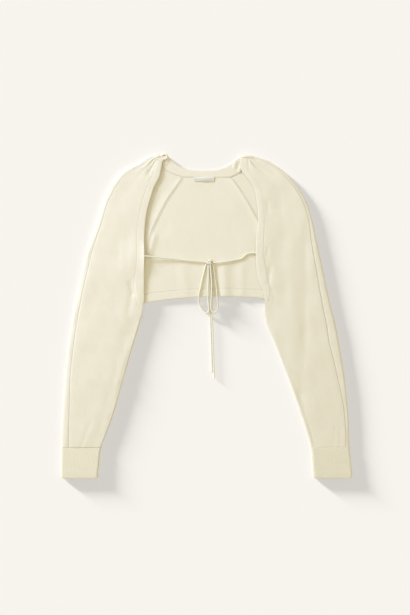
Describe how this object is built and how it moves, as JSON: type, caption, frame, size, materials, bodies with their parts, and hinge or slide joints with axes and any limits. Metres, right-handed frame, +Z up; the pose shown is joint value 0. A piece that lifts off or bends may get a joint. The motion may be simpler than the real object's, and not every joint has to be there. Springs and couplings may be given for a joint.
{
  "type": "cropped tie-front cardigan",
  "caption": "Cropped long-sleeved cardigan in fine knit, laid flat, with raglan seams, gathered shoulders, ribbed cuffs and a cord bow at the front.",
  "frame": {"origin": "under the middle of the garment as it lies, on the surface", "axes": "+Z up from the surface; +Y towards the neck; +X to the right as the garment is seen from above"},
  "size_m": [0.6543, 0.7285, 0.0121],
  "materials": {
    "knit": "fine soft brushed knit",
    "rib": "close fine rib",
    "cord": "knitted round cord",
    "label": "woven satin, blank"
  },
  "bodies": {
    "root": {"back_panel": "knit", "back_hem_band": "rib", "neckband": "rib", "front_band_left": "rib", "front_band_right": "rib", "sleeve_front_left": "knit", "sleeve_front_right": "knit", "sleeve_back_left": "knit", "sleeve_back_right": "knit", "cuff_left": "rib", "cuff_right": "rib", "label": "label", "tie_knot": "cord", "tie_left": "cord", "tie_right": "cord", "loop_left": "cord", "loop_right": "cord", "tail_left": "cord", "tail_right": "cord"}
  },
  "joints": []
}
